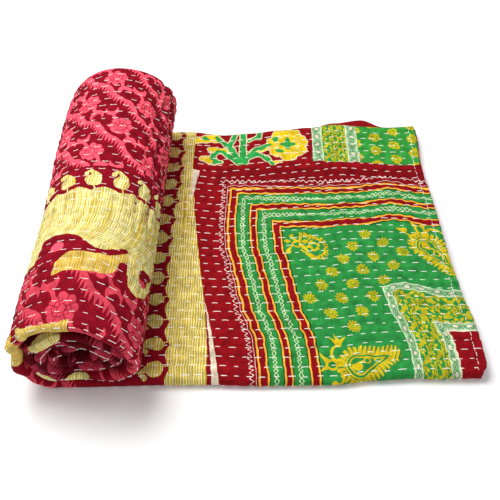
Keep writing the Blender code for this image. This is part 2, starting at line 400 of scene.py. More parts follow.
def roll_place(stations, offset, turn):
    """Points of the roll, and the print's place there. turn: turns wound since the roll's foot."""
    layer = stations["layer"]
    front, back = along_table(WOUND_EDGES, turn)
    front = ROLL_FRONT + front + FRONT_FOLD_REACH
    back = FOLDED_WIDTH - back - LOW_FOLD_REACH - (TOP_FOLD_REACH - LOW_FOLD_REACH) * upper_share(layer)
    y = front + (back - front) * stations["share"] + stations["reach"] + offset * stations["square_y"]
    gathers = np.sin(GATHER_RATE * turn) * (ramp(turn, *GATHER_IN) - ramp(turn, *GATHER_OUT))
    gathers = gathers * (1 - ramp(y, 0.0, GATHER_REACH))
    y = y - GATHER_ASIDE * gathers
    arc = arc_length(turn)
    outer = 1 - ramp(layer, UNDER_LAYER, UNDER_LAYER + NEXT_TO_LAYER)
    puff = (quilting(arc, stations["share"]) - ROW_RELIEF) * outer * ramp(turn, 0.0, FOOT_TURN)
    radius = ROLL_RADIUS - TURN_PITCH * turn - stations["height"] - offset * stations["square_z"] + puff
    angle = 2 * math.pi * turn
    depth = y / FOLDED_WIDTH
    radius = radius - creases(turn, depth) * (1 - ramp(layer, UNDER_LAYER, UNDER_LAYER + CREASED_LAYERS))
    radius = radius + GATHER_RELIEF * gathers
    lean = np.maximum(0, np.sin(angle)) ** 2 * along_table(LEAN, y)
    x = foot_x(depth) - radius * np.sin(angle) - lean
    z = ROLL_RADIUS - radius * np.cos(angle)
    from_end = np.minimum(np.maximum(0, y), np.maximum(0, FOLDED_WIDTH - y))
    near_end = 1 - ramp(from_end, 0.0, END_REACH)
    at_front = 1 - ramp(y, 0.0, FRONT_REACH)
    inner = ramp(turn, *INNER_TURNS)
    height = z / (2 * ROLL_RADIUS)
    lift = ramp(height, *OUTER_SINKING) * (1 - inner) + ramp(height, *INNER_SINKING) * inner
    slump = SLUMP + SLUMP_AT_ENDS * near_end + (SLUMP_AT_FRONT + SLUMP_OF_LIPS * inner) * at_front
    ripple = RIPPLE * np.sin(RIPPLES * angle + RIPPLE_RATE * y) * radius / ROLL_RADIUS
    lip_ripple = LIP_RIPPLE * inner * at_front
    ripple = ripple + lip_ripple * np.sin(LIP_RIPPLES * angle + LIP_RIPPLE_RATE * turn)
    z = z - (slump + ripple) * lift
    lowest = ROLL_RADIUS * (1 - np.cos(angle))
    spread = np.where(np.cos(angle) > 0, np.maximum(0, np.sin(2 * angle)), 0)
    z = z - np.minimum(SPREAD_DOWN * spread, SPREAD_SHARE * lowest) * at_front
    x = x - SPREAD_OUT * spread * at_front
    z = z - REST_SPOT * np.maximum(0, 1 - z / STACK)
    across = printed_y(stations, UNDER_LAYER, front, back)
    printed = np.stack([np.full_like(across, arc), across], axis=-1)
    return np.stack([x, y, np.maximum(0, z)], axis=-1), printed


def creases(turn, depth):
    """How deep the flank's creases are, as far as the turn and the share of the way to the back go."""
    found = 0.0
    for front, back, deep in CREASES:
        sway = CREASE_SWAY * np.sin(CREASE_SWAY_RATE * depth + CREASE_APART * front)
        at = front + (back - front) * depth + sway
        found = found + deep * np.exp(-(((turn - at) / CREASE_WIDTH) ** 2))
    return found * ramp(depth, *CREASE_FADE)


def arc_length(turn):
    """Distance along the roll's outer face from its foot."""
    return 2 * math.pi * (ROLL_RADIUS * turn - TURN_PITCH * turn * turn / 2)


def add_object(name, data):
    """Puts a new object with that data into the scene."""
    made = bpy.data.objects.new(name, data)
    bpy.context.scene.collection.objects.link(made)
    return made


def sheet_mesh(name, stations, place_points, steps, wound=False):
    """A closed sheet swept along its length, with the print's place on it as the UV map cloth, in metres.

    wound: whether it runs back over the foot, where its faces have to turn round to point outwards.
    """
    count = len(stations["layer"])
    ring = 2 * count
    points = []
    cloth = []
    for step in steps:
        for side in (1, -1):
            found, printed = place_points(stations, side * CLOTH / 2, step)
            points.append(found[::side])
            cloth.append(printed[::side])
    points = np.concatenate(points) + FOOT
    cloth = np.concatenate(cloth)
    near = np.arange(ring)
    beside = np.roll(near, -1)
    rows = np.arange(len(steps) - 1)[:, None] * ring
    quads = np.stack([rows + near, rows + near + ring, rows + beside + ring, rows + beside], axis=-1)
    first = np.arange(count - 1)
    cut = np.stack([first, first + 1, ring - 2 - first, ring - 1 - first], axis=-1)
    faces = np.concatenate([quads.reshape(-1, 4), cut, cut[:, ::-1] + (len(steps) - 1) * ring])
    if wound:
        faces = faces[:, ::-1]
    mesh = bpy.data.meshes.new(name)
    mesh.from_pydata(points.tolist(), [], faces.tolist())
    mesh.update()
    add_uv_map(mesh, "cloth", cloth[faces.ravel()])
    mesh.shade_smooth()
    return add_object(name, mesh), cloth[faces]


def add_uv_map(mesh, name, corners):
    """Adds a UV map. corners: a place for each face's corners, in the faces' order."""
    layer = mesh.uv_layers.new(name=name)
    layer.data.foreach_set("uv", corners.astype(np.float32).ravel())


# How far the quilting pulls the print of the loose end aside, by y, and back, by x. All in metres.
PULLED_ASIDE = [
    (0.000, 0.0000),
    (0.030, -0.0020),
    (0.048, -0.0040),
    (0.066, -0.0095),
    (0.088, -0.0170),
    (0.115, -0.0220),
    (0.146, -0.0280),
    (0.174, -0.0340),
    (0.207, -0.0355),
    (0.264, -0.0330),
]
PULLED_BACK = [
    (0.240, 0.000),
    (0.283, 0.003),
    (0.325, 0.010),
    (0.373, 0.001),
]

# The motifs of the green field: each one's left, right, low and high limits, the place of its round end, its
# tip's turn in degrees, and its size. The first area holds the round spray, charted far to that end's right.
PAISLEYS = [
    (0.225, 0.290, 0.130, 0.201, -0.1135, 0.1745, 0, 1.20),
    (0.225, 0.345, -0.05, 0.064, 0.270, 0.0165, 3, 1.14),
    (0.345, 0.480, 0.117, 0.203, 0.392, 0.167, -72, 1.10),
]
# A place in the motif's map that no motif reaches.
NOWHERE = 0.5

# Edges of the lace stripes in the print's own measure, and where they stand upright, lie and cross the patch.
LACE_EDGES = [0.0, 0.009, 0.036, 0.045]
LACE_UPRIGHT = [0.323, 0.332, 0.360, 0.369]
LACE_LYING = [0.1105, 0.1015, 0.0675, 0.0585]
LACE_PATCH = [0.237, 0.250, 0.280, 0.294]
LACE_CORNER = (0.319, 0.1125)
FLOWERED_END = 0.100

# What is the low part of the hem, by height, a face that looks down, by its normal, and the back, by depth.
LOW_HEM = 0.7
UNDER_FACING = -0.5
BACK_SHARE = 0.9

# Edges of the back patches.
PATCH_SIDES = (0.090, 0.237)
PATCH_EDGE = [
    (0.090, 0.302),
    (0.147, 0.304),
    (0.235, 0.309),
    (0.292, 0.309),
    (0.365, 0.305),
]
PATCH_ZONE = 0.297
BORDER_END = 0.150

BORDER, FIELD, LACE, PLANT, REVERSE = range(5)


def lace_measure(value, edges):
    """A distance across the lace stripes in the print's own measure, running on past both ends."""
    rising = edges[-1] > edges[0]
    value, edges = (value, np.array(edges)) if rising else (-value, -np.array(edges))
    inside = np.interp(value, edges, LACE_EDGES)
    return inside + np.minimum(0, value - edges[0]) + np.maximum(0, value - edges[-1])


def lay_loose_end_print(mesh, cloth):
    """Gives the loose end's faces their print and its UV maps. cloth: x and y of the faces' corners."""
    x, y = cloth[..., 0], cloth[..., 1]
    p = x - along_table(PULLED_ASIDE, y)
    q = y - along_table(PULLED_BACK, x)
    add_uv_map(mesh, "print", np.stack([p, q], axis=-1))

    middle_x, middle_y, middle_p, middle_q = (part.mean(axis=1) for part in (x, y, p, q))
    zone = np.where(middle_p < BORDER_END, BORDER, FIELD)
    in_corner = (middle_p > LACE_CORNER[0]) & (middle_q < LACE_CORNER[1])
    zone[in_corner] = LACE
    behind = middle_y > PATCH_ZONE
    zone[behind & (middle_x > PATCH_SIDES[0]) & (middle_x < PATCH_SIDES[1])] = PLANT
    in_patch = behind & (middle_x > PATCH_SIDES[1])
    zone[in_patch] = LACE
    upward = np.empty(len(zone) * 3)
    mesh.polygons.foreach_get("normal", upward)
    upward = upward[2::3]
    centres = np.empty(len(zone) * 3)
    mesh.polygons.foreach_get("center", centres)
    depth, height = centres[1::3] - FOOT[1], centres[2::3]
    zone[(upward < UNDER_FACING) & (height < CLOTH)] = REVERSE
    zone[middle_y < -STACK] = REVERSE
    zone[middle_y > FOLDED_WIDTH + 2 * CLOTH] = BORDER
    at_back = (depth > BACK_SHARE * FOLDED_WIDTH) & (upward > UNDER_FACING)
    zone[at_back & (zone == REVERSE)] = BORDER
    at_hem = (height < LOW_HEM * STACK) & (middle_x > LACE_UPRIGHT[-1])
    zone[at_hem & (zone != REVERSE)] = BORDER
    mesh.polygons.foreach_set("material_index", zone.astype(np.int32))

    motif = np.full(cloth.shape, NOWHERE)
    for left, right, low, high, end_x, end_y, turn, size in PAISLEYS:
        here = (middle_p > left) & (middle_p < right) & (middle_q > low) & (middle_q < high)
        turned = math.radians(turn)
        from_x, from_y = p - end_x, q - end_y
        m = from_x * math.cos(turned) + from_y * math.sin(turned)
        n = from_y * math.cos(turned) - from_x * math.sin(turned)
        motif[here] = (np.stack([m, n], axis=-1) / size)[here]
    upright = lace_measure(p, LACE_UPRIGHT)
    lying = lace_measure(q, LACE_LYING)
    leading = (lying.mean(axis=1) < upright.mean(axis=1))[:, None]
    corner = np.stack([np.minimum(upright, lying), np.where(leading, p, q + FLOWERED_END)], axis=-1)
    motif[in_corner] = corner[in_corner]
    across = lace_measure(x, LACE_PATCH)
    past = (middle_x > LACE_PATCH[-1])[:, None]
    across = np.where(past, across + FLOWERED_END - LACE_EDGES[-1], across)
    patch = np.stack([across, y - along_table(PATCH_EDGE, x)], axis=-1)
    motif[in_patch] = patch[in_patch]
    add_uv_map(mesh, "motif", motif)


LATTICE_START = 0.205
FIGURE_END = 0.120
LATTICE_ZONE, DROPS_ZONE, FIGURE_ZONE = range(3)


def lay_roll_print(mesh, cloth):
    """Gives the roll's faces their print. cloth: each corner's distance round the roll and from the front."""
    y = cloth[..., 1].mean(axis=1)
    zone = np.select([y > LATTICE_START, y > FIGURE_END], [LATTICE_ZONE, DROPS_ZONE], FIGURE_ZONE)
    mesh.polygons.foreach_set("material_index", zone.astype(np.int32))


def hex_linear(code):
    """A colour's sRGB hex code as linear red, green, blue and alpha."""
    parts = [int(code[i:i + 2], 16) / 255 for i in (1, 3, 5)]
    linear = [part / 12.92 if part <= 0.04045 else ((part + 0.055) / 1.055) ** 2.4 for part in parts]
    return (*linear, 1.0)


def add(tree, kind, *inputs, points=None, stops=None, **settings):
    """Adds a node. kind: its type, then its operation after a point; inputs: values or links, in order."""
    name, _, operation = kind.partition(".")
    node = tree.nodes.new(name if name.startswith(("Geometry", "Function")) else "ShaderNode" + name)
    if operation:
        node.operation = operation
    for key, value in settings.items():
        setattr(node, key, value)
    for place in points[1:-1] if points else ():
        node.mapping.curves[0].points.new(*place)
    if points:
        node.mapping.curves[0].points[0].location = points[0]
        node.mapping.curves[0].points[-1].location = points[-1]
        node.mapping.update()
    for place, code in stops or ():
        node.color_ramp.elements.new(place).color = hex_linear(code)
    sockets = [socket for socket in node.inputs if not socket.is_unavailable]
    for socket, value in zip(sockets, inputs):
        if isinstance(value, bpy.types.Node):
            value = first_output(value)
        if isinstance(value, bpy.types.NodeSocket):
            tree.links.new(value, socket)
        elif value is not None:
            socket.default_value = value
    return node


def first_output(node):
    return next(socket for socket in node.outputs if not socket.is_unavailable)


# Signs and words of the formulas, with the nodes that work them out. Lengths in a formula are in mm.
SIGNS = {
    ast.Add: ("Math.ADD", operator.add),
    ast.Sub: ("Math.SUBTRACT", operator.sub),
    ast.Mult: ("Math.MULTIPLY", operator.mul),
    ast.Div: ("Math.DIVIDE", operator.truediv),
    ast.Lt: ("Math.LESS_THAN", operator.lt),
    ast.Gt: ("Math.GREATER_THAN", operator.gt),
}
WORDS = {
    "abs": "Math.ABSOLUTE",
    "min": "Math.MINIMUM",
    "max": "Math.MAXIMUM",
    "sin": "Math.SINE",
    "cos": "Math.COSINE",
    "floor": "Math.FLOOR",
    "round": "Math.ROUND",
    "turn": "Math.ARCTAN2",
    "wrap": "Math.WRAP",
    "spot": "CombineXYZ",
    "length": "VectorMath.LENGTH",
}


def formula(tree, names, text):
    """Adds the nodes of a formula, written as sums with one name to a line, and gives its last value."""
    for line in ast.parse(textwrap.dedent(text).strip()).body:
        value = grow(tree, names, line.value)
        if isinstance(line, ast.Assign):
            names[line.targets[0].id] = value
    return value


def grow(tree, names, part):
    """Adds the nodes of one part of a formula."""
    if isinstance(part, ast.Constant):
        return float(part.value)
    if isinstance(part, ast.Name):
        return names[part.id]
    if isinstance(part, ast.UnaryOp):
        value = grow(tree, names, part.operand)
        return -value if isinstance(value, float) else add(tree, "Math.MULTIPLY", value, -1.0)
    if isinstance(part, ast.Call):
        values = [grow(tree, names, given) for given in part.args]
        shape = SHAPES.get(part.func.id)
        return shape(tree, *values) if shape else add(tree, WORDS[part.func.id], *values)
    if isinstance(part, ast.Compare):
        sign = part.ops[0]
        sides = (part.left, part.comparators[0])
    else:
        sign = part.op
        sides = (part.left, part.right)
    kind, work_out = SIGNS[type(sign)]
    values = [grow(tree, names, side) for side in sides]
    if all(isinstance(value, float) for value in values):
        return work_out(*values)
    return add(tree, kind, *values)


def stroke(tree, spot, x0, y0, x1, y1, start, end):
    """Distance past the edge of a straight stroke, start and end being its half widths: under 0 inside."""
    run = (x1 - x0, y1 - y0, 0.0)
    square = run[0] ** 2 + run[1] ** 2
    from_start = add(tree, "VectorMath.SUBTRACT", spot, (x0, y0, 0.0))
    share = add(tree, "VectorMath.DOT_PRODUCT", from_start, (run[0] / square, run[1] / square, 0.0))
    share = add(tree, "Math.ADD", share, 0.0, use_clamp=True)
    beside = add(tree, "VectorMath.SCALE", run, share)
    away = add(tree, "VectorMath.DISTANCE", from_start, beside)
    away = add(tree, "Math.MULTIPLY_ADD", share, start - end, away)
    return add(tree, "Math.SUBTRACT", away, start)


def ring(tree, spot, x, y, radius, half):
    """Distance past the edge of a ring of that radius and half width: under 0 inside."""
    away = add(tree, "VectorMath.DISTANCE", spot, (x, y, 0.0))
    away = add(tree, "Math.SUBTRACT", away, radius)
    away = add(tree, "Math.ABSOLUTE", away)
    return add(tree, "Math.SUBTRACT", away, half)


def oval(tree, spot, x, y, wide, deep):
    """Distance past the edge of an oval with those half sizes: under 0 inside."""
    moved = (-x / wide, -y / deep, 0.0)
    share = add(tree, "VectorMath.MULTIPLY_ADD", spot, (1 / wide, 1 / deep, 0.0), moved)
    share = add(tree, "VectorMath.LENGTH", share)
    return add(tree, "Math.MULTIPLY_ADD", share, min(wide, deep), -min(wide, deep))


def nearest(tree, shape, spot, rows):
    """Distance past the edge of the nearest of some shapes of one kind: under 0 inside."""
    found = shape(tree, spot, *rows[0])
    for row in rows[1:]:
        found = add(tree, "Math.MINIMUM", found, shape(tree, spot, *row))
    return found


def streaks(tree, x, y, wide, long):
    """Uneven streaks from 0 to 1, of about that width and length."""
    x = add(tree, "Math.DIVIDE", x, wide)
    y = add(tree, "Math.DIVIDE", y, long)
    return add(tree, "TexNoise", add(tree, "CombineXYZ", x, y), 1.0, 1.0)


SHAPES = {"stroke": stroke, "ring": ring, "oval": oval, "streaks": streaks}


def block_print(tree, names, ground, layers):
    """Prints over a ground colour: each layer is a formula, 1 where it prints, and its dye."""
    for where, dye in layers:
        mask = formula(tree, names, where)
        ground = add(tree, "Mix", mask, ground, hex_linear(dye), data_type="RGBA")
    return ground


# How far printed lines waver, in mm, and how many times in a millimetre.
WAVER = 2.6
WAVER_RATE = 0.11


def in_millimetres(tree, uv_map):
    return add(tree, "VectorMath.SCALE", add(tree, "UVMap", uv_map=uv_map), MM_IN_METRE)


def cloth_names(tree, uv_map, across, along):
    """Names a UV map's two directions for formulas, in millimetres, as the printed lines waver there."""
    place = in_millimetres(tree, uv_map)
    waver = add(tree, "TexNoise", place, WAVER_RATE, 1.0)
    waver = add(tree, "VectorMath.SUBTRACT", waver.outputs["Color"], (0.5, 0.5, 0.5))
    waver = add(tree, "VectorMath.SCALE", waver, WAVER)
    place = add(tree, "VectorMath.ADD", place, waver)
    split = add(tree, "SeparateXYZ", place)
    return {across: split.outputs["X"], along: split.outputs["Y"], "place": place}


def new_material(name, roughness):
    """A new material with its node tree and its shader."""
    material = bpy.data.materials.new(name)
    material.use_nodes = True
    shader = material.node_tree.nodes["Principled BSDF"]
    shader.inputs["Roughness"].default_value = roughness
    return material, material.node_tree, shader


def lead_to_shader(tree, shader, colour, bump):
    """Leads a material's colour and bump to its shader."""
    tree.links.new(first_output(colour), shader.inputs["Base Color"])
    tree.links.new(first_output(bump), shader.inputs["Normal"])


# How the cotton looks: its roughness and gloss, how many times in a millimetre it crumples, the shares of
# pucker and yarn in its relief, and how strong and how high, in metres, that relief is.
COTTON_ROUGHNESS = 0.85
COTTON_GLOSS = 0.06
CRUMPLE_RATE = 0.16
PUCKER_SHARE = 0.8
YARN_SHARE = 0.15
RELIEF_STRENGTH = 0.85
COTTON_RELIEF = 0.0021


def cotton(name, print_cloth):
    """Old sari cotton: hand-block or mill printed, washed soft, dull with a faint bloom of fibres.

    print_cloth adds the print's nodes and gives its colour. The yarn is uneven: threads lie 0.35 mm apart in
    the real cloth and are drawn about three times as coarse, so that the light and dark ones show.
    """
    material, tree, shader = new_material(name, COTTON_ROUGHNESS)
    shader.inputs["Specular IOR Level"].default_value = COTTON_GLOSS
    colour = print_cloth(tree)
    names = cloth_names(tree, "cloth", "x", "y")
    yarn = formula(tree, names, """
        warp = streaks(x, y, 0.9, 12)
        weft = streaks(x, y, 12, 0.9)
        worn = streaks(x, y, 13, 11)
        0.8 * warp + 0.72 * weft + 0.9 * worn - 0.21
    """)
    pucker = formula(tree, names, "streaks(x, y, 2.4, 9)")
    colour = add(tree, "VectorMath.SCALE", colour, yarn)
    height = add(tree, "TexNoise", names["place"], CRUMPLE_RATE, 3.0)
    height = add(tree, "Math.MULTIPLY_ADD", pucker, PUCKER_SHARE, height)
    height = add(tree, "Math.MULTIPLY_ADD", yarn, YARN_SHARE, height)
    bump = add(tree, "Bump", RELIEF_STRENGTH, COTTON_RELIEF, height)
    lead_to_shader(tree, shader, colour, bump)
    return material


MAROON = "#840b1d"
CORAL = "#f9586c"
CRIMSON = "#890e16"
GREEN = "#2c8a40"
YELLOW = "#c3b11f"
LINE = "#f2b23c"
CREAM = "#dccdb4"
SLUB = "#c4ad24"
SLUB_ON_ROLL = "#e0d67c"
DARK_RED = "#98142c"
OLD_YELLOW = "#d2b61a"
LEAF_GREEN = "#2f9c4a"
BLOOM_CREAM = "#e2cf86"
LINE_SHADE = "#16401c"

# The slub cloth's threads, side by side: where each shows, by formula in mm, and its dye.
SLUB_THREADS = [
    ("streaks(x, y, 3.6, 150) > 0.52", "#d2b730"),
    ("abs(wrap(x + 1.2 * streaks(x, y, 9, 90), 1.3, -1.3)) < 0.36", "#f0e8bc"),
    ("abs(wrap(x + 0.9 + 1.2 * streaks(x, y, 9, 90), 1.3, -1.3)) < 0.16", "#9a8c3c"),
    ("streaks(x + 50, y, 0.9, 90) > 0.64", "#b98a2c"),
]

# A hooked drop on a stem, in a row along a scalloped edge, in mm. a: along the row from its middle, h: above
# the edge.
DROP = """
    drop = spot(a, h)
    body = oval(drop, 0.4, 13.0, 8.6, 8.8)
    neck = stroke(drop, 2.4, 17.5, -4.6, 28.0, 5.4, 1.0)
    head = stroke(drop, -4.8, 27.0, -8.6, 22.6, 1.5, 2.7)
    stem = stroke(drop, 1.4, 6.0, 4.4, -3.0, 1.0, 0.7)
    drops = min(min(body, neck), min(head, stem))
    scallop = h + 2.0 - 4.6 * sin(abs(a) * 0.1095)
"""


def border_print(tree):
    """The loose end's left side: drops on maroon, the slub stripe, a cream sliver, then crimson."""
    names = cloth_names(tree, "cloth", "x", "y")
    colour = block_print(tree, names, hex_linear(SLUB), SLUB_THREADS)
    formula(tree, names, """
        a = wrap(y - 13, 14.35, -14.35)
        h = 77 - 6.8 * max(0, sin((min(y, 285) - 25) * 0.01208)) - x
    """)
    formula(tree, names, DROP)
    formula(tree, names, """
        right = 103.5 + 12.5 * cos(min(y, 300) * 0.010472)
        narrow = max(0, 0.8 - y / 130)
        tear = stroke(place, 93, 292, 90, 244, 4.5, 0.5)
    """)
    return block_print(tree, names, colour, [
        ("min(drops, scallop) > 0", MAROON),
        ("x > right", MAROON),
        ("x > right + 6 * narrow", CREAM),
        ("x > right + 15 * narrow", CRIMSON),
        ("tear < 0", CREAM),
    ])


# Bands of the corner frame, from its outer edge inwards: where each starts, in mm, and its dye.
FRAME_BANDS = [
    (-20.0, CRIMSON),
    (0.0, LINE),
    (1.9, "#5c0a10"),
    (2.7, CRIMSON),
    (8.2, LINE),
    (10.1, LINE_SHADE),
    (11.2, GREEN),
    (24.6, LINE_SHADE),
    (25.6, LINE),
    (27.4, CRIMSON),
    (32.6, LINE),
    (34.4, LINE_SHADE),
    (35.4, GREEN),
    (50.4, LINE_SHADE),
    (51.4, LINE),
    (53.2, CRIMSON),
    (60.0, LINE),
    (61.9, LINE_SHADE),
    (63.0, GREEN),
]
FRAME_START = FRAME_BANDS[0][0]
FRAME_REACH = 90.0

# One paisley with its comb fringe and scroll, in its own mm: round end at 0, tip to the right. A stroke is
# its ends and half widths there, an oval its middle and half sizes, a ring its middle, radius and half width.
PAISLEY_STROKES = [
    (-14, 24, -22, 33, 2.4, 0.2),
    (-14, 24, -15, 35, 2.6, 0.2),
    (-14, 24, -6, 31, 2.4, 0.2),
    (-28, 8, -33, 16, 2.6, 0.4),
    (-29, 1, -35, -2, 2.4, 0.4),
    (-24, -14, -27, -21, 3.0, 0.6),
    (-5, 0, 3.0, 3.6, 2.2, 0.9),
]
PAISLEY_OVALS = [(-2.5, -1.5, 5.0, 4.0), (14.5, 4.5, 1.2, 1.2)]
PAISLEY_RINGS = [(7.5, 3.6, 2.6, 0.8), (-24, 3.5, 4.6, 1.2)]
PAISLEY = """
    tear = stroke(motif, 0, 0, 29, 5.5, 12, 0.8)
    side = m > 3
    around = 15.5 * turn(n, m)
    around = around + (m - 0.5 * abs(n) - around) * side
    tooth = abs(wrap(around, 2.1, -2.1))
    fringe = (abs(tear - 4.9) < 3.2 + side) * (tooth < 1.75 - 0.16 * abs(tear - 3.4))
    root = abs(tear - 1.9) < 0.45
    outline = abs(abs(tear + 1.7) - 1.6) < 0.7
    stem = max(ring(motif, -13, 14, 9.5, 1.2), m + 12)
    hook = max(ring(motif, -22, -9, 6.0, 1.2), -m - 21)
    scroll = min(min(strokes, min(ovals, rings)), min(stem, hook))
"""

# One round spray of curls and leaves in its own mm, its middle 310 mm to the right of its round end.
SPRAY_STROKES = [
    (299, 5, 295, 12, 0.8, 1.9),
    (295, 1, 290, -7, 0.9, 1.9),
    (302, 4, 304, 14, 0.9, 1.6),
    (308, 13, 318, 11, 2.2, 0.6),
    (303, -5, 310, -15, 0.9, 2.4),
    (310, -15, 321, -18, 2.0, 0.4),
    (303, 1, 308, -6, 1.6, 1.3),
]
SPRAY_OVALS = [(307, 5, 3.2, 1.9), (313, 4, 2.6, 1.7), (311, -2, 2.8, 2.0), (291, 5, 2.8, 1.7)]
SPRAY = """
    crescent = max(ring(motif, 314, -3, 11.0, 0.9), 310 - m)
    hook = min(ring(motif, 299, 1.5, 3.4, 0.9), max(ring(motif, 315, -1, 4.4, 1.1), 312 - m))
    notch = abs(wrap(13.0 * turn(n + 3, m - 314), 1.9, -1.9)) - 1.1
    comb = max(max(ring(motif, 314, -3, 12.6, 1.4), 309 - m), notch)
    spray = min(min(crescent, comb), min(min(strokes, ovals), hook)) + 0.7 * sin(m * 1.5) * sin(n * 1.5)
"""


def field_print(tree):
    """The corner frame of lines, chains and zigzag, round a green field with small flowers and paisleys, with
    painted shade on the crimson in front of the back patch.
    """
    names = cloth_names(tree, "print", "p", "q")
    formula(tree, names, """
        inward = min(p - 168, 264 - q)
        lying = (264 - q) < (p - 168)
        along = q + (p - q) * lying
    """)
    names["share"] = formula(tree, names, f"(inward - {FRAME_START}) / {FRAME_REACH}")
    stops = [((place - FRAME_START) / FRAME_REACH, dye) for place, dye in FRAME_BANDS[1:]]
    bands = add(tree, "ValToRGB", names["share"], stops=stops)
    bands.color_ramp.interpolation = "CONSTANT"
    bands.color_ramp.elements[0].color = hex_linear(FRAME_BANDS[0][1])
    bands.color_ramp.elements[-1].color = hex_linear(FRAME_BANDS[-1][1])
    formula(tree, names, """
        loop = 1.9 * abs(sin(along * 0.63))
        chain = min(abs(abs(inward - 17.6) - loop), abs(abs(inward - 42.4) - loop))
        zigzag = abs(inward + 7.0 + 3.4 * lying - (1.8 - 0.5 * lying) * sin(along * (1.15 - 0.2 * lying)))
        zigzag = min(zigzag, abs(inward + 2.6) + 0.32)
        dx = p - 324
        dy = q - 187
        i = min(max(round(0.02908 * dx - 0.02757 * dy), 0), 2)
        j = min(max(round(0 - 0.02950 * dx - 0.02984 * dy), 0), 5)
        fx = dx - (18.5 - 0.3 * j) * i + 16.4 * j
        fy = dy + (16.3 + 0.5 * j) * i + 17.3 * j
        r = length(spot(fx, fy))
        petals = cos(turn(fy, fx) * 12)
        flower = r - 6.4 - 0.9 * petals
    """)
    own = in_millimetres(tree, "motif")
    split = add(tree, "SeparateXYZ", own)
    names.update({"motif": own, "m": split.outputs["X"], "n": split.outputs["Y"]})
    names["strokes"] = nearest(tree, stroke, own, PAISLEY_STROKES)
    names["ovals"] = nearest(tree, oval, own, PAISLEY_OVALS)
    names["rings"] = nearest(tree, ring, own, PAISLEY_RINGS)
    formula(tree, names, PAISLEY)
    names["strokes"] = nearest(tree, stroke, own, SPRAY_STROKES)
    names["ovals"] = nearest(tree, oval, own, SPRAY_OVALS)
    formula(tree, names, SPRAY)
    return block_print(tree, names, bands, [
        # Painted shade: the crimson is painted darker towards the back patch from 266 mm back, standing in
        # for the shadow of the patch's step.
        ("min(max((q - 266) / 24, 0), 0.6)", "#6e0a10"),
        ("chain < 0.56", "#ccdcac"),
        ("zigzag < 0.58", "#e6cfc8"),
        ("flower < 0", YELLOW),
        ("(flower < 0) * (petals < -0.25) * (r > 2.6)", "#8a9a1c"),
        ("abs(r - 2) < 0.5", "#5f9a24"),
        ("max(fringe, max(outline, root))", OLD_YELLOW),
        ("min(scroll, spray) < 0", OLD_YELLOW),
    ])


def lace_print(tree):
    """Two lace stripes of diamonds with dense yellow flowers between them; u runs across them, c along."""
    names = cloth_names(tree, "motif", "u", "c")
    formula(tree, names, """
        across = abs(u - 22.5)
        lace = abs(across - 18) - 4.5
        aside = abs(across - 18) / 3.9
        diamond = aside + abs(wrap(c, 7.6, -7.6)) / 7.6
        between = aside + abs(wrap(c + 7.6, 7.6, -7.6)) / 7.6
        net = min(abs(diamond - 0.98), min(abs(diamond - 0.62), abs(between - 0.62)))
        row = wrap(u - 9, 6.75, -6.75)
        step = wrap(c + 10.5 * (u > 22.5) + 1.2 * sin(u), 10.5, -10.5)
        r = length(spot(row / 5.4, step / 8.4))
        petals = cos(turn(step * 0.7, row) * 7)
        leaf = length(spot((abs(row) - 5.2) / 1.5, (abs(step) - 9.0) / 3.0))
        far = u > 85
        gx = wrap(u - 2, 12, -12)
        gy = wrap(c - 9 + 12 * round((u - 2) / 24), 12, -12)
        small = length(spot(gx, gy))
    """)
    return block_print(tree, names, hex_linear(GREEN), [
        ("leaf < 1.1", "#b4ac22"),
        ("r < 0.94 + 0.20 * petals", "#cab51e"),
        ("(r < 0.94) * (r > 0.26) * (petals < -0.70)", "#2f8a38"),
        ("abs(r - 0.58) < 0.07", "#3f8c32"),
        ("abs(r - 0.22) < 0.06", "#7c8c24"),
        ("lace < 0", "#a6c89a"),
        ("(lace < 0) * (diamond < 0.5)", "#dccfb8"),
        ("(lace < 0) * (net < 0.085)", "#2f7f42"),
        ("abs(lace + 0.4) < 0.45", "#d3dcbc"),
        ("(u > 45) * (u < 46.2)", "#dccfae"),
        ("u > 46.2", CRIMSON),
        ("far", "#33923a"),
        ("u < 0", GREEN),
        ("far * (small < 6.9 + 1.0 * cos(turn(gy, gx) * 10))", YELLOW),
        ("far * (abs(small - 3.2) < 0.6)", "#6a9a20"),
        ("c < 0", CRIMSON),
    ])


# The plant of the back patch, in mm from the foot and the front line. Each stem: its points with half widths.
PLANT_STEMS = [
    [(150, 303, 4.2), (150.5, 375, 3.2)],
    [(149, 303, 4.0), (133, 336, 3.4), (117, 353, 2.6)],
    [(133, 336, 3.2), (143, 366, 2.6)],
    [(149, 303, 3.0), (126, 326, 3.0), (120, 327, 3.2), (114, 323, 3.2), (113, 316, 3.0), (117, 311, 2.6)],
    [(150, 303, 3.6), (163, 327, 3.2), (184, 340, 2.6)],
    [(150, 303, 3.2), (157, 316, 3.0), (166, 321, 3.0), (175, 318, 3.0), (182, 311, 2.8), (187, 304, 2.2)],
    [(158, 348, 2.6), (170, 352, 2.8), (172, 366, 3.0)],
    [(115, 308, 2.4), (123, 309, 2.2)],
]
PLANT_PETALS = [
    [(93, 350, 5.0), (114, 352, 7.5)],
    [(101, 316, 4.2), (110, 312, 4.6)],
    [(110, 333, 3.2), (128, 328, 2.6)],
    [(187, 306, 3.0), (196, 308, 2.2)],
    [(167, 326, 1.6), (181, 331, 2.8)],
]


def strokes_along(stems):
    """The strokes from point to point of each stem."""
    strokes = []
    for stem in stems:
        for (x0, y0, start), (x1, y1, end) in zip(stem, stem[1:]):
            strokes.append((x0, y0, x1, y1, start, end))
    return strokes


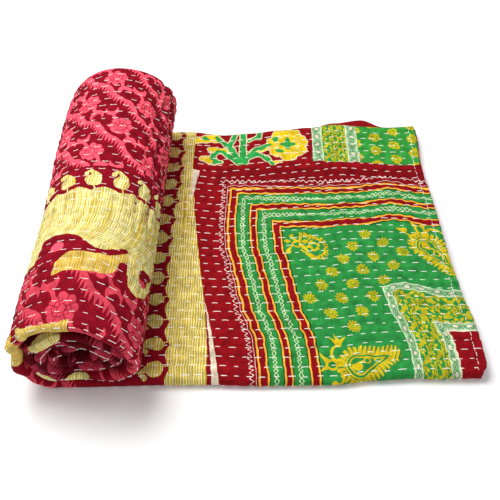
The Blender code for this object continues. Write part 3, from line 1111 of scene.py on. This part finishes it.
def plant_print(tree):
    """The back patch: a green plant with yellow flowers, outlined in cream, on crimson."""
    names = cloth_names(tree, "cloth", "x", "y")
    names["stems"] = nearest(tree, stroke, names["place"], strokes_along(PLANT_STEMS))
    names["petals"] = nearest(tree, stroke, names["place"], strokes_along(PLANT_PETALS))
    formula(tree, names, """
        bx = x - 206
        by = y - 340
        around = turn(by, bx)
        reach = length(spot(bx, by * 0.86))
        bloom = reach - 21.5 - 4.0 * abs(sin(around * 3.5 + 0.6))
        side_leaves = min(oval(place, 191, 350, 3.4, 5.0), oval(place, 196, 327, 5.4, 2.8))
        heart = min(reach - 7.4 - 2.6 * cos(around * 4), side_leaves)
        ribs = abs(sin(around * 4.5)) * reach
        inner = abs(reach - 13 - 2 * abs(sin(around * 4.5)))
        yellow = min(petals, bloom)
        diamond = abs(x - 102) / 6.5 + abs(y - 352.5) / 4
    """)
    return block_print(tree, names, hex_linear(CRIMSON), [
        ("min(stems, yellow) < 1.4", "#dccba0"),
        ("yellow < 0", "#dcbc18"),
        ("(bloom < 0) * (ribs < 1.5) * (reach > 13)", BLOOM_CREAM),
        ("(bloom < 0) * (inner < 0.7)", BLOOM_CREAM),
        ("stems < 0", LEAF_GREEN),
        ("heart < 0", LEAF_GREEN),
        ("diamond < 1", LEAF_GREEN),
        ("y < 302", CRIMSON),
    ])


# The reverse cloth's lattice: slanting feathers with comb teeth, and between them flowers joined by scrolls.
LATTICE = """
    d = s + y
    e = s - y
    k = floor((d - 367.5) / 65)
    dd = wrap(d - 374 + 3 * sin(e * 0.11), 32.5, -32.5) / 1.414
    tooth = abs(wrap(e / 1.414 + 0.55 * dd, 2.2, -2.2))
    f = wrap(d - 400, 32.5, -32.5) / 1.414
    g = wrap(e + 28 + 13 * k, 42, -42) / 1.414
    r = length(spot(f, g))
    around = turn(g, f)
    lobe = abs(cos(around * 4))
    petals = r - 10.9 - 2.4 * lobe
    veins = (lobe * r < 1.5) * (r > 3.4) + (abs(r - 3.4) < 0.45) + (abs(r - 6.4 - lobe) < 0.4)
    gap = wrap(e + 70 + 13 * k, 42, -42) / 1.414
    scroll = spot(gap, f)
    stem = abs(f - 4.2 * sin(gap * 0.16)) - 0.9 - 0.07 * abs(gap)
    stem = max(stem, abs(gap) - 19)
    upper = max(oval(scroll, 3.8, 7.6, 8.0, 7.5), 0 - oval(scroll, 0.2, 10.4, 5.8, 5.8))
    lower = max(oval(scroll, -3.8, -7.6, 8.0, 7.5), 0 - oval(scroll, -0.2, -10.4, 5.8, 5.8))
    coral = min(min(stem, min(upper, lower)), petals)
    teeth = (dd > -8.6) * (dd < 3.0) * (tooth < 0.26 * (dd + 8.6))
    coral = max(coral < 0, teeth)
"""


def roll_names(tree):
    return cloth_names(tree, "cloth", "s", "y")


def lattice_print(tree):
    """The reverse cloth away from its border: the coral lattice on maroon."""
    names = roll_names(tree)
    formula(tree, names, LATTICE)
    return block_print(tree, names, hex_linear(MAROON), [
        ("coral", CORAL),
        ("veins * (petals < 0)", DARK_RED),
    ])


# The slub threads' way on the roll: straight at first, then drawn aside towards the front.
SLUB_WAY = """
    bend = min(max((128 - y) / 42, 0), 1)
    x = s + 22 * bend * bend + 0.6 * sin(y * 0.17) + 1.2 * sin(y * 0.07 + s * 0.02)
"""


def drops_print(tree):
    """The roll's middle: slub cloth up to a scalloped edge, hooked drops on maroon, then the lattice."""
    names = roll_names(tree)
    formula(tree, names, SLUB_WAY)
    colour = block_print(tree, names, hex_linear(SLUB_ON_ROLL), SLUB_THREADS)
    formula(tree, names, LATTICE)
    formula(tree, names, """
        a = wrap(s - 166.6, 14.35, -14.35)
        h = y - 158
    """)
    formula(tree, names, DROP)
    return block_print(tree, names, colour, [
        ("min(drops, scallop) > 0", MAROON),
        ("coral * (h > 33)", CORAL),
        ("veins * (petals < 0) * (h > 33)", DARK_RED),
    ])


# Edges of the figure at the roll's front, charted in mm: distance round the roll and from the front.
YELLOW_EDGE = [
    (0, 72), (100, 72), (128, 76), (142, 76), (149, 87), (152, 97), (163, 100), (174, 99), (185, 96.6),
    (196, 92), (206, 83), (217, 79), (230, 84), (243, 88.5), (246, 64), (250, 51), (258, 45), (272, 49),
    (284, 60), (292, 74), (297, 96),
]
LEAF_TOP = [(174, 50), (184, 72.5), (193, 75), (203, 73.5), (221, 74), (237, 81), (247, 90)]
LEAF_FOOT = [(174, 50), (187, 53), (206, 51.5), (225, 53), (234, 58.6), (237, 70), (247, 76)]
LIP_OVALS = [(511, -1, 20, 8), (424, -2, 12, 5), (392, -3, 12, 6)]
EDGE_REACH = 300.0
EDGE_HEIGHT = 120.0


def edge_height(tree, names, edge):
    """Height of a charted edge over the distance round the roll."""
    share = formula(tree, names, f"s / {EDGE_REACH}")
    points = [(place / EDGE_REACH, height / EDGE_HEIGHT) for place, height in edge]
    curve = add(tree, "FloatCurve", 1.0, share, points=points)
    return add(tree, "Math.MULTIPLY", curve, EDGE_HEIGHT)


def figure_print(tree):
    """The roll's front: the slub cloth's curled leaf and ring, then the lattice, painted darker on the turns
    inside as painted shade.
    """
    names = roll_names(tree)
    formula(tree, names, SLUB_WAY)
    colour = block_print(tree, names, hex_linear(SLUB_ON_ROLL), SLUB_THREADS)
    names["edge"] = edge_height(tree, names, YELLOW_EDGE)
    names["leaf_top"] = edge_height(tree, names, LEAF_TOP)
    names["leaf_foot"] = edge_height(tree, names, LEAF_FOOT)
    names["inside"] = nearest(tree, oval, names["place"], LIP_OVALS)
    formula(tree, names, """
        leaf = (y < leaf_top) * (y > leaf_foot) * (s > 174) * (s < 247)
        hole = min(oval(place, 270, 70, 8.5, 9.5), stroke(place, 274, 74, 291, 84, 6, 2))
        bend = (s - 178) / 39
        lip = (y < 1.5 + min(9 * bend * bend, 7)) * (y > -13) * (abs(s - 143) < 55) * (abs(s - 131) > 4)
        golden = max(leaf, lip)
        ground = (y < edge) * (1 - golden) * (inside > 0)
        ground = max(ground, hole < 0)
        bud = oval(place, 173, 84, 7, 5)
        below = y < 66
        inner = s > 385
        y = (y - 15) / 1.2 + 13
        s = (s - 190) / 1.2 + 192
    """)
    formula(tree, names, LATTICE)
    return block_print(tree, names, colour, [
        ("0.5 * golden", "#cf9a10"),
        ("ground", MAROON),
        ("ground * coral * below", "#d04354"),
        # Painted shade: past 385 mm round the roll, on the turns inside, the maroon is painted darker and the
        # coral duller, standing in for the shade those turns lie in.
        ("ground * inner * (1 - 0.75 * coral)", "#5a0610"),
        ("ground * inner * coral", "#a83246"),
        ("ground * veins * (petals < 0) * below", DARK_RED),
        ("bud < 0", CORAL),
    ])


def build_cloth():
    """The three pieces of the throw's cloth: its loose end, the roll's outer turn, and the turns inside."""
    hem_steps = np.linspace(HEM_START, 1, HEM_MESH_STEPS + 1)
    top_steps = np.concatenate([np.linspace(0, HEM_START, FLAT_STEPS)[:-1], hem_steps])
    flat, cloth = sheet_mesh("quilt_cloth_loose_end", section_stations(TOP_LAYER), flat_place, top_steps)
    lay_loose_end_print(flat.data, cloth)
    lattice = cotton("cotton_coral_lattice", lattice_print)
    for material in (
        cotton("cotton_border_print", border_print),
        cotton("cotton_field_print", field_print),
        cotton("cotton_lace_print", lace_print),
        cotton("cotton_plant_print", plant_print),
        lattice,
    ):
        flat.data.materials.append(material)
    turn_steps = np.linspace(0, 1, TURN_STEPS + 1)
    stations = section_stations(UNDER_LAYER)
    outer, cloth = sheet_mesh("quilt_cloth_outer_turn", stations, roll_place, turn_steps, wound=True)
    lay_roll_print(outer.data, cloth)
    inner_steps = np.linspace(1, WOUND_TURNS, round((WOUND_TURNS - 1) * INNER_STEPS) + 1)
    stations = section_stations(None)
    inner, cloth = sheet_mesh("quilt_cloth_inner_turns", stations, roll_place, inner_steps, wound=True)
    lay_roll_print(inner.data, cloth)
    drops = cotton("cotton_drops_print", drops_print)
    figure = cotton("cotton_figure_print", figure_print)
    for piece in (outer, inner):
        for material in (lattice, drops, figure):
            piece.data.materials.append(material)
    return flat, outer, inner


# The threads, as the stitch tree's inputs: in metres.
QUILTING_THREAD = {"Length": 0.0066, "Thickness": 0.0010, "Seed": 3}
FINER_THREAD = {"Length": 0.0066, "Thickness": 0.0008, "Seed": 3}
SEWING_THREAD = {"Length": 0.0042, "Thickness": 0.0006, "Seed": 5}
STITCH_SEED = 7
SEAM_PITCH = 0.0052
HEM_WIDTH = 0.0085
HEM_MARGIN = 0.004
# How far stitches stray along their row, rows from their line, and the hem's sewing from its seam.
STITCH_STRAY = 0.0006
ROW_STRAY = 0.0003
SEAM_STRAY = 0.0004
# Ways of the rows that lie on the front fold, and the share of the inner turns' stitches that is kept.
FOLD_ROW = -0.004
ROLL_FOLD_ROW = -0.003
LIP_ROW = 0.001
LIP_SHARE = 0.6
# How far apart points are taken to find a direction, and how many of them to measure a length.
PROBE = 0.0004
SAMPLES = 2000
# The thread's finish: the ridges of its twist, how deep they are in metres, and how much they shade it.
THREAD_ROUGHNESS = 0.75
THREAD_SHEEN = 0.2
TWIST_RATE = 1400.0
TWIST_RELIEF = 0.0002
TWIST_STRENGTH = 0.4
TWIST_SHADE = (0.3, 0.7, 0.9, 1.0)
# The arch of a stitch: how deep its ends sink and how high its middle stands, in thicknesses.
SUNK = -0.35
ARCH = 0.75
ARCH_STEPS = 4
THREAD_SIDES = 6
# How much shorter and longer than the rule stitches are.
SHORTEST = 0.55
LONGEST = 1.25


def cotton_thread(name, colour):
    """White quilting cotton, two-ply and matt: short pale ridges where the twist shows."""
    material, tree, shader = new_material(name, THREAD_ROUGHNESS)
    shader.inputs["Sheen Weight"].default_value = THREAD_SHEEN
    place = add(tree, "TexCoord").outputs["Object"]
    twist = add(tree, "TexNoise", place, TWIST_RATE, 2.0)
    shade = add(tree, "MapRange", twist, *TWIST_SHADE)
    dyed = add(tree, "VectorMath.SCALE", hex_linear(colour)[:3], shade)
    bump = add(tree, "Bump", TWIST_STRENGTH, TWIST_RELIEF, twist)
    lead_to_shader(tree, shader, dyed, bump)
    return material


def stitch_tree():
    """Geometry nodes: an arched bit of thread at each point, lying along it, of uneven length."""
    tree = bpy.data.node_groups.new("running_stitches", "GeometryNodeTree")
    tree.interface.new_socket("Geometry", in_out="INPUT", socket_type="NodeSocketGeometry")
    for name, kind in (("Length", "Float"), ("Thickness", "Float"), ("Seed", "Int"), ("Thread", "Material")):
        tree.interface.new_socket(name, in_out="INPUT", socket_type="NodeSocket" + kind)
    tree.interface.new_socket("Geometry", in_out="OUTPUT", socket_type="NodeSocketGeometry")
    given = tree.nodes.new("NodeGroupInput").outputs
    result = tree.nodes.new("NodeGroupOutput")
    half = add(tree, "Math.MULTIPLY", given["Length"], 0.5)
    sunk = add(tree, "Math.MULTIPLY", given["Thickness"], SUNK)
    arch = add(tree, "Math.MULTIPLY", given["Thickness"], ARCH)
    start = add(tree, "CombineXYZ", add(tree, "Math.MULTIPLY", half, -1.0), 0.0, sunk)
    middle = add(tree, "CombineXYZ", 0.0, 0.0, arch)
    end = add(tree, "CombineXYZ", half, 0.0, sunk)
    path = add(tree, "GeometryNodeCurveQuadraticBezier", ARCH_STEPS, start, middle, end)
    round_thread = add(tree, "GeometryNodeCurvePrimitiveCircle", THREAD_SIDES)
    radius = add(tree, "Math.MULTIPLY", given["Thickness"], 0.5)
    tree.links.new(first_output(radius), round_thread.inputs["Radius"])
    thread = add(tree, "GeometryNodeCurveToMesh", path, round_thread)
    thread.inputs["Fill Caps"].default_value = True
    along = add(tree, "GeometryNodeInputNamedAttribute", "along", data_type="FLOAT_VECTOR")
    up = add(tree, "GeometryNodeInputNamedAttribute", "up", data_type="FLOAT_VECTOR")
    turned = add(tree, "FunctionNodeAlignRotationToVector", None, 1.0, along, axis="X")
    turned = add(tree, "FunctionNodeAlignRotationToVector", turned, 1.0, up, axis="Z", pivot_axis="X")
    stretch = add(tree, "FunctionNodeRandomValue", SHORTEST, LONGEST, data_type="FLOAT")
    tree.links.new(given["Seed"], stretch.inputs["Seed"])
    size = add(tree, "CombineXYZ", stretch, 1.0, 1.0)
    laid = tree.nodes.new("GeometryNodeInstanceOnPoints")
    tree.links.new(given["Geometry"], laid.inputs["Points"])
    for name, node in (("Instance", thread), ("Rotation", turned), ("Scale", size)):
        tree.links.new(first_output(node), laid.inputs[name])
    real = add(tree, "GeometryNodeRealizeInstances", laid)
    smooth = add(tree, "GeometryNodeSetShadeSmooth", real)
    dyed = add(tree, "GeometryNodeSetMaterial", smooth)
    tree.links.new(given["Thread"], dyed.inputs["Material"])
    tree.links.new(first_output(dyed), result.inputs["Geometry"])
    return tree


def lay_stitches(name, tree, thread, laid, sizes):
    """Makes one piece of stitches. laid: their places, their directions and the upward ones.

    Those between the cloth and what it lies on are left out.
    """
    seen = laid[0][:, 2] > CLOTH
    found, along, up = (values[seen] for values in laid)
    mesh = bpy.data.meshes.new(name)
    mesh.from_pydata((found + FOOT).tolist(), [], [])
    for key, values in (("along", along), ("up", up)):
        layer = mesh.attributes.new(key, "FLOAT_VECTOR", "POINT")
        layer.data.foreach_set("vector", values.astype(np.float32).ravel())
    piece = add_object(name, mesh)
    sizes = {**sizes, "Thread": thread}
    modifier = piece.modifiers.new("stitches", "NODES")
    modifier.node_group = tree
    for item in tree.interface.items_tree:
        if item.name in sizes:
            modifier[item.identifier] = sizes[item.name]
    depsgraph = bpy.context.evaluated_depsgraph_get()
    made = bpy.data.meshes.new_from_object(piece.evaluated_get(depsgraph))
    piece.modifiers.clear()
    piece.data = made
    return piece


def at_way(stations, way):
    """The folded section at distances along the cloth."""
    order = np.argsort(stations["way"])
    ways = stations["way"][order]
    return {key: np.interp(way, ways, column[order]) for key, column in stations.items()}


def on_surface(place_points, stations, way, along):
    """Places on the cloth's upper face, with the directions along it and up from it."""
    def find(way, along):
        return place_points(at_way(stations, way), CLOTH / 2, along)[0]
    found = find(way, along)
    forward = find(way, along + PROBE) - find(way, along - PROBE)
    across = find(way + PROBE, along) - find(way - PROBE, along)
    up = np.cross(forward, across)
    return found, forward, up / np.linalg.norm(up, axis=1)[:, None]


def row_stitches(row, length, random):
    """Distances along a quilting row at which its stitches lie."""
    fine = np.linspace(0, length, SAMPLES)
    counts = stitch_count(fine, row)
    numbers = np.arange(math.ceil(counts[0]), math.floor(counts[-1]) + 1)
    found = np.interp(numbers, counts, fine)
    return found + random.normal(0, STITCH_STRAY, len(found))


def quilting_rows(start, pitch, length, fold_way, fold_length, random):
    """Ways and distances of the stitches of all rows, and of the one along the front fold."""
    laid = []
    for row in range(ROWS):
        found = row_stitches(row, length, random)
        laid.append([start + row * pitch + random.normal(0, ROW_STRAY, len(found)), found])
    found = row_stitches(ROWS, fold_length, random)
    laid.append([np.full_like(found, fold_way), found])
    return np.concatenate(laid, axis=1)


FLOOR_REACH = 6.0
PAPER_ROUGHNESS = 0.95


def plain_paper(name, colour):
    """The studio's pale paper, dull all over."""
    material, _, shader = new_material(name, PAPER_ROUGHNESS)
    shader.inputs["Base Color"].default_value = hex_linear(colour)
    return material


def build_stage():
    mesh = bpy.data.meshes.new("floor")
    corners = [(x * FLOOR_REACH, y * FLOOR_REACH, 0) for x, y in ((-1, -1), (1, -1), (1, 1), (-1, 1))]
    mesh.from_pydata(corners, [], [(0, 1, 2, 3)])
    floor = add_object("floor", mesh)
    floor.data.materials.append(plain_paper("floor_paper", "#fbfbfb"))


CAMERA_DOWN = 50.0        # degrees below level
CAMERA_LENS = 57.6        # mm on a 36 mm sensor
CAMERA_SENSOR = 36.0
CAMERA_FROM_FOOT = (0.159, -0.4065, 0.699)
NEAREST_SEEN = 0.01


def build_camera():
    data = bpy.data.cameras.new("camera")
    data.lens = CAMERA_LENS
    data.sensor_width = CAMERA_SENSOR
    data.clip_start = NEAREST_SEEN
    camera = add_object("camera", data)
    camera.location = [a + b for a, b in zip(CAMERA_FROM_FOOT, FOOT)]
    camera.rotation_euler = (math.radians(90 - CAMERA_DOWN), 0, 0)
    bpy.context.scene.camera = camera


# The studio's lamps, each one's name, place, size and power, and how bright the white surround is.
LAMPS = [
    ("key_light", (-0.55, 0.35, 1.45), 0.9, 25),
    ("fill_light", (0.5, -0.9, 1.5), 1.3, 4),
]
SURROUND = 0.40


def build_light():
    """Soft studio light: an even white surround, and broad lamps above that give the folds their shade."""
    world = bpy.data.worlds.new("studio")
    world.use_nodes = True
    background = world.node_tree.nodes["Background"]
    background.inputs["Color"].default_value = (1, 1, 1, 1)
    background.inputs["Strength"].default_value = SURROUND
    bpy.context.scene.world = world
    bpy.context.scene.view_settings.view_transform = "Standard"
    for name, place, size, power in LAMPS:
        data = bpy.data.lights.new(name, "AREA")
        data.size = size
        data.energy = power
        lamp = add_object(name, data)
        lamp.location = place
        x, y, z = place
        lamp.rotation_euler = (math.atan2(math.hypot(x, y), z), 0, math.atan2(y, x) + math.pi / 2)


def build_stitches():
    """Rows of running stitches over the loose end and the roll, and the sewing of the hem."""
    random = np.random.default_rng(STITCH_SEED)
    tree = stitch_tree()
    thread = cotton_thread("thread_white_cotton", "#fffdf6")
    stations = section_stations(TOP_LAYER)
    way = stations["way"]
    top_start = way[stations["layer"] == TOP_LAYER].min()
    under_start = way[stations["layer"] == UNDER_LAYER].max()
    once_round = arc_length(1.0)
    turns = np.linspace(0, WOUND_TURNS, SAMPLES)

    rows, found = quilting_rows(top_start, ROW_PITCH, HEM_FRONT - HEM_MARGIN, FOLD_ROW, HEM_FRONT, random)
    laid = on_surface(flat_place, stations, rows, found / HEM_FRONT)
    loose_end = lay_stitches("stitches_loose_end", tree, thread, laid, QUILTING_THREAD)

    rows, found = quilting_rows(under_start, -ROW_PITCH, once_round, ROLL_FOLD_ROW, once_round, random)
    laid = on_surface(roll_place, stations, rows, np.interp(found, arc_length(turns), turns))
    outer_turn = lay_stitches("stitches_outer_turn", tree, thread, laid, FINER_THREAD)

    places = []
    for row_way in (LIP_ROW, under_start - ROW_PITCH):
        found = once_round + row_stitches(row_way * MM_IN_METRE, arc_length(WOUND_TURNS) - once_round, random)
        places.append([np.full_like(found, row_way), found])
    rows, found = np.concatenate(places, axis=1)
    kept = random.random(len(found)) < LIP_SHARE
    laid = on_surface(roll_place, stations, rows[kept], np.interp(found[kept], arc_length(turns), turns))
    inner_turns = lay_stitches("stitches_inner_turns", tree, thread, laid, FINER_THREAD)

    seam = np.arange(0.0, FOLDED_WIDTH, SEAM_PITCH)
    place = 1 - HEM_WIDTH / HEM_FRONT + random.normal(0, SEAM_STRAY, len(seam))
    found, forward, up = on_surface(flat_place, stations, top_start + seam, place)
    laid = (found, np.cross(up, forward), up)
    hem_seam = lay_stitches("stitches_hem_seam", tree, thread, laid, SEWING_THREAD)
    return (
        ("quilt_flat_end", loose_end),
        ("quilt_roll", outer_turn),
        ("quilt_roll", inner_turns),
        ("quilt_flat_end", hem_seam),
    )


def main():
    flat, turn, inner = build_cloth()
    for piece, node in ((flat, "quilt_flat_end"), (turn, "quilt_roll"), (inner, "quilt_roll")):
        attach(piece, "root")
        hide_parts(node)
    for node, piece in build_stitches():
        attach(piece, "root")
    build_stage()
    build_camera()
    build_light()


main()
